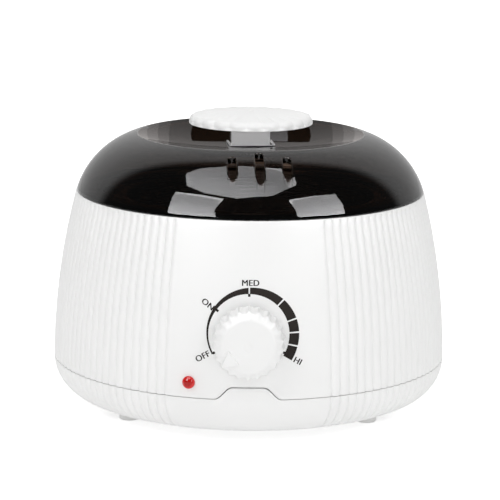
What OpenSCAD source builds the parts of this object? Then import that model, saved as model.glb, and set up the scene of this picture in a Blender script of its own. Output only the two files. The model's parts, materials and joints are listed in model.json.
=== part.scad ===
// Countertop wax warmer: a ribbed round housing with a heated well,
// a lift-out pot, a clear domed lid and a thermostat dial on the front.
// Z is up, the front faces -Y, and the origin is the point on the table
// below the middle of the whole outline, dial included.

/* [Preview] */
// facets on a full circle
$fn = 96; // [48:12:180]

/* [Body] */
// greatest radius of the housing
body_radius = 93; // [85:0.5:100]
// height of the greatest radius
widest_height = 20.2; // [16:0.2:22]
// radius of the arc that the housing side follows
side_arc_radius = 319.3; // [260:1:400]
// height of the seam between base and housing
base_seam_height = 22.8; // [22.2:0.2:25]
// height of the rim that the lid rests on
rim_height = 101.9; // [98:0.5:108]
// thickness of the housing side
shell_wall = 2.6; // [2.2:0.1:3]
// radius of the rounding under the base
base_arc_radius = 18.2; // [17.6:0.2:19]
// height of the flat underside above the table
underside_height = 4.4; // [3.6:0.2:5]
// thickness of the base floor
floor_thickness = 2.8; // [2.4:0.1:3.2]
// open line left along each seam
seam_gap = 0.25; // [0.15:0.05:0.4]

/* [Ribs] */
// ribs that would fill a full turn
rib_count = 128; // [112:4:140]
// pitches left smooth on each side of the front centre
smooth_pitches = 8; // [7:1:10]
// depth of the valley between two ribs
rib_depth = 0.95; // [0.6:0.05:1.1]
// width of the valley between two ribs
valley_width = 1.5; // [1:0.1:2]

/* [Seam tab] */
// width of the tab at the seam
tab_foot_width = 27; // [22:1:32]
// width of the tab at its top
tab_top_width = 17; // [12:1:20]
// height of the tab above the seam
tab_height = 5.5; // [4:0.5:7]

/* [Feet] */
// diameter of a foot
foot_diameter = 9.5; // [8:0.5:12]
// distance of a foot from the middle, left or right
foot_reach_x = 55.2; // [48:0.4:57]
// distance of a foot from the middle, front or back
foot_reach_y = 41.5; // [36:0.5:43]
// diameter of the foot's peg
peg_diameter = 5; // [4:0.5:6]

/* [Case screws] */
// distance of a case screw outside the deck's opening
case_screw_margin = 9; // [8.2:0.1:9.5]
// diameter of a case screw's shank
case_screw_diameter = 3; // [2.5:0.5:3.5]

/* [Deck and well] */
// depth of the deck below the rim
deck_drop = 4.4; // [3.8:0.2:5]
// thickness of the deck
deck_thickness = 2.6; // [2.2:0.2:3]
// inner radius of the heating well
well_radius = 60.9; // [57:0.3:61.2]
// height of the well floor's upper face
well_floor_height = 46; // [42:1:50]
// sheet thickness of the well
well_wall = 1.2; // [1:0.1:1.5]
// width of the well's flange, out from the well's wall
well_flange_width = 9.5; // [9.2:0.1:10.4]
// distance of a flange screw from the flange's edge
flange_screw_edge = 3.4; // [3.1:0.1:3.7]

/* [Pot] */
// gap between pot and well
pot_gap = 0.8; // [0.6:0.1:1.2]
// sheet thickness of the pot
pot_wall = 1.2; // [1:0.1:1.5]
// width of the pot's flange, out from the pot's wall
pot_flange_width = 4.9; // [4.3:0.1:5.4]
// diameter of the handle wire
handle_wire = 3; // [2.4:0.2:3.2]
// distance of the handle's bow outside the pot's wall
handle_reach = 5.4; // [4.9:0.1:5.9]

/* [Lid] */
// outer radius of the lid at the rim
lid_radius = 82; // [80:0.5:82.2]
// radius of the arc that the lid's shoulder follows
lid_arc_radius = 39.65; // [38:0.25:41]
// distance of that arc's centre from the axis
lid_arc_reach = 44.4; // [43:0.2:45]
// height of that arc's centre above the rim
lid_arc_rise = -11.7; // [-12.5:0.1:-11]
// radius of the crease round the dished top
crease_radius = 53.5; // [51:0.5:56]
// depth of the dish below the crease
dish_depth = 5.6; // [4:0.2:7]
// thickness of the lid
lid_wall = 2.4; // [2:0.1:2.8]
// turn of the lid on the housing, in degrees
lid_turn = 3.7; // [0:0.1:20]
// width of a vent slot
slot_width = 4.4; // [3:0.2:5]
// distance between neighbouring slots
slot_pitch = 12.4; // [10:0.4:14]

/* [Lid knob] */
// radius of the lid knob
lid_knob_radius = 29.2; // [26:0.2:31]
// height of the knob's lower edge above the rim
lid_knob_rise = 31.7; // [31:0.1:34]
// thickness of the knob at its middle
lid_knob_thickness = 6.6; // [5.5:0.1:8]
// lobes round the knob's edge
lid_knob_lobes = 22; // [16:1:28]
// width of the knob's stem
stem_width = 18.2; // [14:0.2:20]
// depth of the knob's stem, front to back
stem_depth = 12; // [9:0.5:14]

/* [Dial] */
// height of the dial's axis
dial_height = 49.9; // [46:0.3:53]
// radius of the dial to its flute tips
dial_radius = 15.8; // [14:0.2:18]
// how far the dial stands out from its back face
dial_thickness = 12; // [10:0.5:14]
// flutes round the dial
dial_flutes = 22; // [16:1:28]
// diameter of the thermostat shaft
shaft_diameter = 6; // [5:0.5:6.5]
// running clearance round the shaft, on the radius
shaft_clearance = 0.05; // [0.02:0.01:0.09]
// where the pointer rests, degrees clockwise from the top
pointer_rest = 233; // [225:1:240]

/* [Lamp] */
// height of the lamp
lamp_height = 29.8; // [29:0.2:33]
// angle of the lamp to the left of the front centre
lamp_angle = 16.6; // [14:0.2:20]
// diameter of the lamp's lens
lamp_diameter = 5.8; // [4.8:0.2:6.4]

/* [Cord inlet] */
// height of the cord inlet
inlet_height = 15; // [14.4:0.2:15.6]
// bore of the inlet's grommet
inlet_bore = 7; // [5:0.5:8]

/* [Hidden] */
rib_pitch = 360 / rib_count;
side_centre = body_radius - side_arc_radius;
base_centre = body_radius - base_arc_radius;
base_top = base_seam_height - seam_gap;
base_arc_height = underside_height + base_arc_radius;
floor_top = underside_height + floor_thickness;
deck_z = rim_height - deck_drop;
recess_radius = lid_radius - 3.6;
ledge_radius = recess_radius - 2;
well_outer = well_radius + well_wall;
well_flange_radius = well_outer + well_flange_width;
flange_screw_reach = well_flange_radius - flange_screw_edge;
well_under = well_floor_height - 2;
deck_under = deck_z - deck_thickness;
deck_opening = well_outer + 0.9;
case_screw_reach = deck_opening + case_screw_margin;
flange_top = deck_z + well_wall;
pot_outer = well_radius - pot_gap;
pot_inner = pot_outer - pot_wall;
pot_flange_radius = pot_outer + pot_flange_width;
handle_radius = pot_outer + handle_reach;
pot_floor_radius = pot_outer - 6;
pot_under = well_floor_height + 0.6;
pot_top = flange_top + pot_wall;
hinge_z = pot_top + handle_wire / 2 + 0.7;
arc_z = rim_height + lid_arc_rise;
crease_x = crease_radius - lid_arc_reach;
crease_z = arc_z + sqrt(lid_arc_radius * lid_arc_radius - crease_x * crease_x);
dish_radius = (crease_radius * crease_radius + dish_depth * dish_depth) / (2 * dish_depth);
dish_z = crease_z - dish_depth + dish_radius;
knob_z = rim_height + lid_knob_rise;
dial_back = body_radius + 0.2;
front_reach = dial_back + dial_thickness + 0.8;
pad_y = body_radius - 8;
lamp_seat = body_radius - 6;
post_seat = 22;
post_angles = [30, 150, 210, 330];
flange_angles = [0, 90, 180, 270];
block_y = 44;
clamp_y = base_centre - 6.8;
lead_diameter = 2.2;
lead_bend = 1.3;
lead_sides = 8;

function side_radius(z) =
    side_centre + sqrt(side_arc_radius * side_arc_radius - (z - widest_height) * (z - widest_height));

// Shared shapes

// moves a piece so that the origin lies midway between the dial's face and the back
module in_frame() {
    translate([0, (front_reach - body_radius) / 2, 0]) children();
}

// the half plane inside the side arc, pulled in by inset, between two heights
module side_profile(inset, low, high) {
    intersection() {
        translate([side_centre, widest_height]) circle(r = side_arc_radius - inset, $fn = 720);
        translate([0, low]) square([body_radius + 1, high - low]);
    }
}

function slope(t) = t * t * (3 - 2 * t);

// the tab that steps up from the front of the base seam, seen from the front
module tab_outline(grow) {
    foot = tab_foot_width / 2 + grow;
    top = tab_top_width / 2 + grow;
    side = [for (t = [0 : 0.125 : 1]) [foot + (top - foot) * t, (tab_height + grow) * slope(t)]];
    mirrored = [for (i = [len(side) - 1 : -1 : 0]) [-side[i][0], side[i][1]]];
    polygon(concat([[foot, -3]], side, mirrored, [[-foot, -3]]));
}

module tab_block(grow, depth) {
    translate([0, 1 - body_radius + depth, base_top]) rotate([90, 0, 0])
        linear_extrude(height = depth + 2) tab_outline(grow);
}

// a valley between two ribs: the drawn strip of outline, valley_width thick
module valley() {
    rotate([90, 0, 0]) translate([0, 0, -valley_width / 2])
        linear_extrude(height = valley_width) children();
}

module round_the_ribs() {
    for (k = [smooth_pitches : rib_count - smooth_pitches - 1])
        rotate([0, 0, -90 + (k + 0.5) * rib_pitch]) valley() children();
}

module at_posts() {
    for (a = post_angles) rotate([0, 0, a]) translate([case_screw_reach, 0, 0]) children();
}

module at_flange() {
    for (a = flange_angles) rotate([0, 0, a + 45]) translate([flange_screw_reach, 0, 0]) children();
}

module at_lamp() {
    rotate([0, 0, -90 - lamp_angle]) translate([0, 0, lamp_height]) rotate([0, 90, 0]) children();
}

// the dial's own frame: x right, y up and z out towards the viewer
module at_dial(y) {
    translate([0, -y, dial_height]) rotate([90, 0, 0]) children();
}

// a pan-head screw: head up from z = 0, shank down
module pan_screw(shank, length, head, head_height) {
    translate([0, 0, -length]) cylinder(d = shank, h = length);
    difference() {
        cylinder(d = head, h = head_height);
        for (a = [0, 90]) rotate([0, 0, a])
            translate([-head * 0.3, -head * 0.06, head_height * 0.5]) cube([head * 0.6, head * 0.12, head]);
    }
}

// a round-cornered cup outline, from the axis out
module cup_profile(radius, low, high, round) {
    translate([0, low]) square([radius - round, high - low]);
    translate([0, low + round]) square([radius, high - low - round]);
    translate([radius - round, low + round]) circle(r = round);
}

function unit(v) = v / norm(v);

// the points of a route with each corner cut back on both sides
function eased(points) = [
    points[0],
    for (i = [1 : len(points) - 2], side = [-1, 1])
        points[i] + lead_bend * unit(points[i + side] - points[i]),
    points[len(points) - 1]
];

// the way a route runs at one of its points
function heading(route, i) =
    (i == 0 ? [0, 0, 0] : unit(route[i] - route[i - 1]))
    + (i == len(route) - 1 ? [0, 0, 0] : unit(route[i + 1] - route[i]));

// an insulated lead along a list of points; no stretch runs along x
module lead(points) {
    route = eased(points);
    last = len(route) - 1;
    rings = [for (i = [0 : last])
        let (side = unit(cross(heading(route, i), [1, 0, 0])), up = unit(cross(side, heading(route, i))))
            for (k = [0 : lead_sides - 1])
                route[i] + lead_diameter / 2 * (cos(k * 360 / lead_sides) * side
                    + sin(k * 360 / lead_sides) * up)];
    quads = [for (i = [0 : last - 1], k = [0 : lead_sides - 1])
        let (a = i * lead_sides, n = (k + 1) % lead_sides)
            [a + k, a + n, a + lead_sides + n, a + lead_sides + k]];
    walls = [for (q = quads, half = [0, 1]) half == 0 ? [q[0], q[1], q[2]] : [q[0], q[2], q[3]]];
    start = [for (k = [0 : lead_sides - 1]) lead_sides - 1 - k];
    end = [for (k = [0 : lead_sides - 1]) last * lead_sides + k];
    polyhedron(rings, concat(walls, [start, end]));
}

// Fixed pieces

module main_housing() color([0.95, 0.95, 0.94]) in_frame() {
    difference() {
        union() {
            rotate_extrude($fn = 360) difference() {
                side_profile(0, base_seam_height, rim_height);
                side_profile(shell_wall, base_seam_height - 1, rim_height + 1);
            }
            intersection() {
                rotate_extrude() side_profile(1.5, dial_height - 16, dial_height + 15);
                translate([-16, -body_radius, dial_height - 17]) cube([32, body_radius - pad_y, 34]);
            }
            intersection() {
                rotate_extrude() side_profile(1.5, lamp_height - 8, lamp_height + 8);
                at_lamp() translate([0, 0, lamp_seat]) cylinder(d = 12, h = 8);
            }
        }
        tab_block(seam_gap, 8);
        at_dial(pad_y - 1) cylinder(d = shaft_diameter + 4, h = 12);
        for (s = [-1, 1]) translate([s * 11, 0, 0]) {
            at_dial(pad_y - 1) cylinder(d = 3.3, h = 12);
            at_dial(body_radius - 5) cylinder(d = 5.6, h = 12);
        }
        at_lamp() translate([0, 0, lamp_seat - 1]) cylinder(d = lamp_diameter + 0.1, h = 10);
        round_the_ribs() difference() {
            intersection() {
                translate([side_centre, widest_height]) circle(r = side_arc_radius + 0.4, $fn = 720);
                translate([60, base_seam_height - 1]) square([body_radius, rim_height - base_seam_height - 0.2]);
            }
            translate([side_centre, widest_height]) circle(r = side_arc_radius - rib_depth, $fn = 720);
        }
    }
}

// the ring inside the rim that carries the deck
module housing_ledge() color([0.95, 0.95, 0.94]) in_frame() {
    rotate_extrude() difference() {
        side_profile(shell_wall + 0.05, deck_under - 2.4, rim_height);
        square([ledge_radius, rim_height]);
        translate([0, deck_under]) square([recess_radius, rim_height]);
    }
}

module housing_deck() color([0.93, 0.93, 0.92]) in_frame() {
    difference() {
        union() {
            translate([0, 0, deck_under]) cylinder(r = recess_radius - 0.05, h = deck_thickness);
            translate([0, 0, deck_z - 8]) cylinder(r = deck_opening + 1.8, h = 7);
            at_posts() translate([0, 0, post_seat]) cylinder(d = 8.4, h = deck_z - post_seat - 1);
            at_flange() translate([0, 0, deck_z - 13]) cylinder(d = 7.4, h = 12);
        }
        translate([0, 0, deck_z - 9]) cylinder(r = deck_opening, h = 10);
        at_posts() translate([0, 0, post_seat - 1]) cylinder(d = case_screw_diameter + 0.1, h = 15);
        at_flange() translate([0, 0, deck_z - 12]) cylinder(d = 3.1, h = 13);
    }
}

module base_shell() color([0.94, 0.94, 0.93]) in_frame() {
    lip_outer = side_radius(base_seam_height + 4) - shell_wall - 0.2;
    difference() {
        union() {
            rotate_extrude($fn = 360) difference() {
                union() {
                    intersection() {
                        union() {
                            translate([base_centre, base_arc_height]) circle(r = base_arc_radius);
                            translate([base_centre, base_arc_height]) square([base_arc_radius, 10]);
                        }
                        translate([base_centre - 1, 0]) square([30, base_top]);
                    }
                    translate([0, underside_height]) square([base_centre, floor_thickness]);
                }
                intersection() {
                    translate([base_centre, base_arc_height]) circle(r = base_arc_radius - floor_thickness);
                    translate([base_centre - 0.01, 0]) square([30, base_arc_height]);
                }
                translate([0, floor_top]) square([base_centre, 30]);
                translate([0, base_arc_height - 0.2]) square([body_radius - floor_thickness, 30]);
            }
            rotate_extrude() translate([lip_outer - 2, base_seam_height - 8]) square([2, 12]);
            intersection() {
                rotate_extrude() difference() {
                    side_profile(0.1, base_top, base_top + tab_height);
                    translate([0, 0]) square([lip_outer - 0.5, rim_height]);
                }
                tab_block(0, 8);
            }
            at_posts() translate([0, 0, floor_top - 1]) cylinder(d = 10, h = post_seat - floor_top + 1);
            translate([0, base_centre, inlet_height]) rotate([-90, 0, 0])
                intersection() {
                    cylinder(d = 17, h = body_radius - 1.4 - base_centre);
                    translate([-9, inlet_height - base_top, 4]) cube([18, 18, 20]);
                }
            for (s = [-1, 1]) {
                translate([s * 14, block_y, floor_top - 1]) cylinder(d = 5, h = 1.5);
                translate([s * 9.5, clamp_y, floor_top - 1]) cylinder(d = 6, h = 4.8);
            }
        }
        at_posts() {
            cylinder(d = 6.6, h = post_seat - 3);
            cylinder(d = case_screw_diameter + 0.6, h = post_seat + 1);
        }
        for (x = [-1, 1], y = [-1, 1]) translate([x * foot_reach_x, y * foot_reach_y, 0])
            cylinder(d = peg_diameter + 0.2, h = floor_top + 1);
        translate([0, base_centre - 1, inlet_height]) rotate([-90, 0, 0]) cylinder(d = 11.2, h = 30);
        translate([0, body_radius - 1.4, inlet_height]) rotate([-90, 0, 0]) cylinder(d = 15.6, h = 5);
        for (s = [-1, 1]) translate([s * 9.5, clamp_y, floor_top - 1.5]) cylinder(d = 2.6, h = 10);
        at_lamp() translate([0, 0, lamp_seat - 2]) cylinder(d = 12.8, h = 9);
        round_the_ribs() difference() {
            intersection() {
                translate([base_centre, base_arc_height]) circle(r = base_arc_radius + 0.4);
                translate([base_centre + 4, 0]) square([30, base_seam_height + 1]);
            }
            translate([base_centre, base_arc_height]) circle(r = base_arc_radius - rib_depth);
            translate([60, base_arc_height]) square([body_radius - rib_depth - 60, 10]);
        }
    }
}

module feet() color([0.93, 0.93, 0.92]) in_frame() {
    for (x = [-1, 1], y = [-1, 1]) translate([x * foot_reach_x, y * foot_reach_y, 0]) {
        cylinder(d = foot_diameter - 1, h = 0.5);
        translate([0, 0, 0.5]) cylinder(d = foot_diameter, h = underside_height - 0.5);
        cylinder(d = peg_diameter, h = floor_top);
        translate([0, 0, floor_top]) cylinder(d = peg_diameter + 1.4, h = 1.2);
    }
}

module case_screws() color([0.7, 0.7, 0.72]) in_frame() {
    at_posts() translate([0, 0, post_seat - 3]) mirror([0, 0, 1])
        pan_screw(case_screw_diameter, 15, 5.8, 2.2);
}

module heating_well() color([0.8, 0.81, 0.82]) in_frame() {
    difference() {
        rotate_extrude() difference() {
            union() {
                cup_profile(well_outer, well_under, flange_top, 6);
                translate([0, deck_z]) square([well_flange_radius, well_wall]);
            }
            cup_profile(well_radius, well_floor_height, flange_top + 10, 5);
        }
        at_flange() translate([0, 0, deck_z - 1]) cylinder(d = 3.4, h = 4);
    }
    translate([0, 0, well_under - 20]) cylinder(d = 5, h = 20);
}

module well_screws() color([0.7, 0.7, 0.72]) in_frame() {
    at_flange() translate([0, 0, flange_top]) pan_screw(3, 10, 5.2, 1.2);
}

module heating_element() color([0.72, 0.62, 0.4]) in_frame() {
    difference() {
        union() {
            translate([0, 0, well_under - 2]) cylinder(r = 50, h = 2);
            for (s = [-1, 1]) translate([s * 9 - 3, 45, well_under - 2]) cube([6, 11.5, 1]);
        }
        translate([0, 0, well_under - 3]) cylinder(r = 18, h = 5);
    }
}

module clamp_plate() color([0.75, 0.76, 0.78]) in_frame() {
    difference() {
        translate([0, 0, well_under - 3.5]) cylinder(r = 51, h = 1.5);
        translate([0, 0, well_under - 5]) cylinder(d = 5.4, h = 5);
        for (a = [0 : 60 : 300]) rotate([0, 0, a + 30])
            translate([26, 0, well_under - 5]) cylinder(d = 8, h = 5);
    }
}

module stud_spacer() color([0.78, 0.78, 0.8]) in_frame() {
    difference() {
        translate([0, 0, well_under - 13]) cylinder(d = 10, h = 9.5);
        translate([0, 0, well_under - 14]) cylinder(d = 5.4, h = 12);
    }
}

module heat_shield() color([0.8, 0.8, 0.82]) in_frame() {
    top = well_under - 13;
    difference() {
        rotate_extrude() difference() {
            cup_profile(58.8, top - 0.8, top + 7, 4);
            cup_profile(58, top, top + 9, 3.2);
        }
        translate([0, 0, top - 2]) cylinder(d = 5.4, h = 5);
        for (s = [-1, 1]) translate([s * 9, 53, top - 2]) cylinder(d = 6, h = 5);
    }
}

module stud_nut() color([0.72, 0.72, 0.74]) in_frame() {
    top = well_under - 13.8;
    difference() {
        translate([0, 0, top - 4]) cylinder(r = 4.6, h = 4, $fn = 6);
        translate([0, 0, top - 5]) cylinder(d = 5.1, h = 6);
    }
}

module fuse_clip() color([0.75, 0.75, 0.78]) in_frame() {
    difference() {
        translate([-7, -34, well_under - 10]) cube([14, 8, 6.5]);
        translate([-8, -30, well_under - 7]) rotate([0, 90, 0]) cylinder(d = 4.1, h = 16);
        translate([-8, -31.2, well_under - 11]) cube([16, 2.4, 4]);
    }
}

module thermal_fuse() color([0.82, 0.8, 0.76]) in_frame() {
    translate([-9, -30, well_under - 7]) rotate([0, 90, 0]) cylinder(d = 4, h = 18);
}

module thermostat_body() color([0.9, 0.88, 0.82]) in_frame() {
    difference() {
        union() {
            translate([-15, -pad_y, dial_height - 15]) cube([30, 15, 30]);
            at_dial(pad_y) cylinder(d = shaft_diameter + 3.4, h = 5);
        }
        at_dial(pad_y - 13) cylinder(d = shaft_diameter + 2 * shaft_clearance, h = 20);
        for (s = [-1, 1]) at_dial(pad_y - 9) translate([s * 11, 0, 0]) cylinder(d = 3.1, h = 12);
    }
}

module thermostat_terminals() color([0.8, 0.68, 0.35]) in_frame() {
    for (s = [-1, 1]) translate([s * 8 - 3.15, 8.4 - pad_y, dial_height - 22]) cube([6.3, 0.8, 7]);
}

module thermostat_screws() color([0.7, 0.7, 0.72]) in_frame() {
    for (s = [-1, 1]) at_dial(body_radius - 5) translate([s * 11, 0, 0]) pan_screw(3, 9, 5, 1.6);
}

module indicator_lens() color([0.85, 0.1, 0.08]) in_frame() {
    at_lamp() {
        translate([0, 0, lamp_seat - 1]) cylinder(d = lamp_diameter + 2.2, h = 1);
        translate([0, 0, lamp_seat]) cylinder(d = lamp_diameter, h = body_radius - lamp_seat);
        intersection() {
            translate([0, 0, body_radius - 1.4]) sphere(r = 3.5);
            translate([0, 0, body_radius - 0.5]) cylinder(d = lamp_diameter, h = 5);
        }
    }
}

module lamp_holder() color([0.2, 0.2, 0.2]) in_frame() {
    at_lamp() translate([-5, -5, lamp_seat - 8]) cube([10, 10, 7]);
}

module terminal_block() color([0.92, 0.9, 0.84]) in_frame() {
    difference() {
        translate([-18, block_y - 7, floor_top + 0.5]) cube([36, 14, 12]);
        for (x = [-12, 0, 12]) {
            translate([x, block_y - 8, floor_top + 6]) rotate([-90, 0, 0]) cylinder(d = 3.6, h = 16);
            translate([x, block_y, floor_top + 6]) cylinder(d = 3.1, h = 8);
        }
    }
}

module terminal_screws() color([0.8, 0.7, 0.4]) in_frame() {
    for (x = [-12, 0, 12]) translate([x, block_y, floor_top + 12.5]) pan_screw(3, 3.5, 4.6, 1.4);
}

module inlet_grommet() color([0.12, 0.12, 0.12]) in_frame() {
    inner = base_centre + 3;
    outer = body_radius - 1.4;
    translate([0, 0, inlet_height]) rotate([-90, 0, 0]) difference() {
        union() {
            translate([0, 0, inner]) cylinder(d = 11, h = outer - inner);
            translate([0, 0, outer]) cylinder(d = 15, h = 1.4);
            translate([0, 0, inner]) cylinder(d = 14, h = 1);
        }
        translate([0, 0, inner - 1]) cylinder(d = inlet_bore, h = 30);
    }
}

module cord_clamp() color([0.85, 0.84, 0.8]) in_frame() {
    difference() {
        union() {
            translate([-6, clamp_y - 4, floor_top + 3.8]) cube([12, 8, 9]);
            translate([-13, clamp_y - 4, floor_top + 3.8]) cube([26, 8, 2.2]);
        }
        translate([0, clamp_y - 5, inlet_height]) rotate([-90, 0, 0]) cylinder(d = inlet_bore, h = 10);
        for (s = [-1, 1]) translate([s * 9.5, clamp_y, floor_top]) cylinder(d = 2.8, h = 10);
    }
}

module clamp_screws() color([0.7, 0.7, 0.72]) in_frame() {
    for (s = [-1, 1]) translate([s * 9.5, clamp_y, floor_top + 6]) pan_screw(2.5, 6, 4.6, 1.6);
}

module inner_wiring() color([0.3, 0.3, 0.35]) in_frame() {
    low = floor_top + 6;
    for (s = [-1, 1]) {
        lead([[s * 12, block_y + 2, low], [s * 12, block_y + 10, low], [s * 9, 54, low + 5],
            [s * 9, 54, well_under - 2]]);
        lead([[s * 12, block_y - 2, low], [s * 12, block_y - 13, low], [s * 24, 20, low], [s * 24, -52, low],
            [s * 8, 8.8 - pad_y, low + 4], [s * 8, 8.8 - pad_y, dial_height - 22]]);
    }
}

// Dial: turns with the thermostat shaft

module thermostat_shaft() color([0.75, 0.76, 0.78]) in_frame() {
    difference() {
        at_dial(pad_y - 12) cylinder(d = shaft_diameter, h = 12 + dial_back - pad_y + 9);
        at_dial(dial_back) rotate([0, 0, -pointer_rest])
            translate([-5, shaft_diameter / 2 - 1, 0]) cube([10, 5, 20]);
    }
}

module control_knob() color([0.95, 0.95, 0.94]) in_frame() {
    face = dial_thickness;
    at_dial(dial_back) {
        difference() {
            rotate_extrude() difference() {
                polygon([[0, 0], [dial_radius, 0], [dial_radius, face - 3.2], [dial_radius - 0.8, face - 2.2],
                    [dial_radius - 3.2, face - 0.4], [dial_radius - 4, face], [0, face]]);
                polygon([[5.5, -1], [dial_radius - 2, -1], [dial_radius - 2, face - 4.5],
                    [dial_radius - 3.4, face - 3], [5.5, face - 3]]);
                translate([0, face - 0.4]) square([2, 2]);
            }
            for (k = [0 : dial_flutes - 1]) rotate([0, 0, (k + 0.5) * 360 / dial_flutes])
                translate([dial_radius + 1.2, 0, -1]) cylinder(r = 2, h = face + 2);
            difference() {
                translate([0, 0, -1]) cylinder(d = shaft_diameter + 0.1, h = 10.5);
                rotate([0, 0, -pointer_rest]) translate([-5, shaft_diameter / 2 - 0.4, -2]) cube([10, 5, 20]);
            }
            rotate([0, 0, -pointer_rest])
                translate([-2.1, shaft_diameter / 2 - 1, -1]) cube([4.2, 0.7, 10]);
        }
        rotate([0, 0, -pointer_rest]) translate([0, 0, face - 3.2]) linear_extrude(height = 4)
            polygon([[-4.2, dial_radius - 5.4], [4.2, dial_radius - 5.4], [0.5, dial_radius + 0.7],
                [-0.5, dial_radius + 0.7]]);
    }
}

module knob_spring() color([0.7, 0.7, 0.74]) in_frame() {
    at_dial(dial_back) rotate([0, 0, -pointer_rest])
        translate([-2, shaft_diameter / 2 - 0.95, 0.5]) cube([4, 0.5, 8]);
}

// Pot: lifts out of the well

module inner_pot() color([0.82, 0.83, 0.84]) in_frame() {
    difference() {
        union() {
            rotate_extrude() difference() {
                union() {
                    cup_profile(pot_outer, pot_under, pot_top, 5);
                    translate([0, flange_top]) square([pot_flange_radius, pot_wall]);
                }
                cup_profile(pot_inner, pot_under + pot_wall, pot_top + 10, 4);
            }
            for (s = [-1, 1]) translate([s * (pot_outer + 2.2) - 0.8, 0, 0]) {
                translate([0, -3.2, pot_top - 0.5]) cube([1.6, 6.4, hinge_z - pot_top + 0.5]);
                translate([0, 0, hinge_z]) rotate([0, 90, 0]) cylinder(r = 3.2, h = 1.6);
            }
        }
        for (s = [-1, 1]) translate([s * (pot_outer + 2.2) - 2, 0, hinge_z]) rotate([0, 90, 0])
            cylinder(d = handle_wire + 0.1, h = 4);
        translate([0, 0, pot_under - 1]) cylinder(r = pot_floor_radius, h = pot_wall + 2);
    }
}

// the flat middle of the pot's floor
module pot_floor() color([0.82, 0.83, 0.84]) in_frame() {
    translate([0, 0, pot_under]) cylinder(r = pot_floor_radius, h = pot_wall);
}

module pot_handle() color([0.75, 0.76, 0.78]) in_frame() {
    bend = 2.2;
    translate([0, bend, hinge_z])
        rotate_extrude(angle = 180) translate([handle_radius, 0]) circle(d = handle_wire, $fn = 32);
    for (s = [0, 1]) mirror([s, 0, 0]) {
        translate([handle_radius - bend, bend, hinge_z]) rotate([0, 0, -90])
            rotate_extrude(angle = 90) translate([bend, 0]) circle(d = handle_wire, $fn = 32);
        translate([pot_outer, 0, hinge_z]) rotate([0, 90, 0])
            cylinder(d = handle_wire, h = handle_radius - bend - pot_outer, $fn = 32);
    }
}

// Lid: lifts off with its knob

// the lid's outline pulled in by inset; the crease stays sharp
module lid_region(inset) {
    difference() {
        union() {
            intersection() {
                translate([lid_arc_reach, arc_z]) circle(r = lid_arc_radius - inset, $fn = 240);
                translate([lid_arc_reach, rim_height - 20]) square([60, 60]);
            }
            translate([0, rim_height - 20]) square([lid_arc_reach + 0.01, 20 + lid_arc_rise + lid_arc_radius - inset]);
        }
        translate([0, dish_z]) circle(r = dish_radius + inset, $fn = 1440);
    }
}

module lid_profile() {
    ring = well_flange_radius + 0.8;
    difference() {
        intersection() {
            lid_region(0);
            translate([0, rim_height]) square([lid_radius, 60]);
        }
        intersection() {
            lid_region(lid_wall);
            translate([0, rim_height - 1]) square([lid_radius - lid_wall, 60]);
        }
    }
    translate([ring, flange_top - 0.5]) square([2, rim_height - flange_top + 2.7]);
    translate([ring, rim_height]) square([lid_radius - lid_wall - ring + 0.5, 2.2]);
}

module vent_slot(x, near, far) {
    for (r = [near + slot_width / 2, far - slot_width / 2])
        translate([x, -r, rim_height]) cylinder(d = slot_width, h = 40);
    translate([x - slot_width / 2, slot_width / 2 - far, rim_height])
        cube([slot_width, far - near - slot_width, 40]);
}

module lid_shell() color([0.16, 0.12, 0.1, 0.85]) in_frame() {
    rotate([0, 0, lid_turn]) difference() {
        rotate_extrude($fn = 180) lid_profile();
        vent_slot(0, crease_radius + 2.5, 74);
        for (s = [-1, 1]) vent_slot(s * slot_pitch, crease_radius + 5.2, 71.6);
        rotate([0, 0, -lid_turn]) translate([-stem_width / 2 - 0.2, -stem_depth / 2 - 0.2, rim_height + 5])
            cube([stem_width + 0.4, stem_depth + 0.4, 30]);
    }
}

module lid_knob() color([0.96, 0.96, 0.95]) in_frame() {
    r = lid_knob_radius;
    t = lid_knob_thickness;
    round = 4.2;
    floor_z = crease_z - dish_depth;
    difference() {
        rotate_extrude() difference() {
            intersection() {
                translate([0, knob_z]) square([r, t]);
                translate([0, knob_z + t - 110]) circle(r = 110, $fn = 360);
            }
            difference() {
                translate([r - round, knob_z + 1.2]) square([round + 1, t]);
                translate([r - round, knob_z + 1.2]) circle(r = round);
            }
            difference() {
                translate([r - 1.2, knob_z - 1]) square([3, 2.2]);
                translate([r - 1.2, knob_z + 1.2]) circle(r = 1.2);
            }
            translate([0, knob_z - 1]) square([r - 2.4, 2.6]);
        }
        for (k = [0 : lid_knob_lobes - 1]) rotate([0, 0, (k + 0.5) * 360 / lid_knob_lobes])
            translate([r + 1.1, 0, knob_z + 1]) rotate([0, -52, 0]) translate([0, 0, -5]) cylinder(r = 1.6, h = 22);
    }
    translate([-stem_width / 2, -stem_depth / 2, floor_z - lid_wall - 2])
        cube([stem_width, stem_depth, knob_z - floor_z + lid_wall + 4.2]);
    for (s = [-1, 1]) translate([s * stem_width / 2, -stem_depth / 2, 0]) rotate([-90, 0, 0])
        linear_extrude(height = stem_depth)
            polygon([[-s, -floor_z - 4], [0, -floor_z - 4], [s * 2.2, -floor_z - 0.9], [s * 2.2, -floor_z - 0.35],
                [-s, -floor_z - 0.35]]);
    for (s = [-1, 1]) translate([-stem_width / 2 + 3, s * stem_depth / 2, 0]) rotate([90, 0, 90])
        linear_extrude(height = stem_width - 6)
            polygon([[-s, floor_z - lid_wall - 0.1], [s * 1.2, floor_z - lid_wall - 0.1],
                [0, floor_z - lid_wall - 2], [-s, floor_z - lid_wall - 2]]);
}

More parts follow.
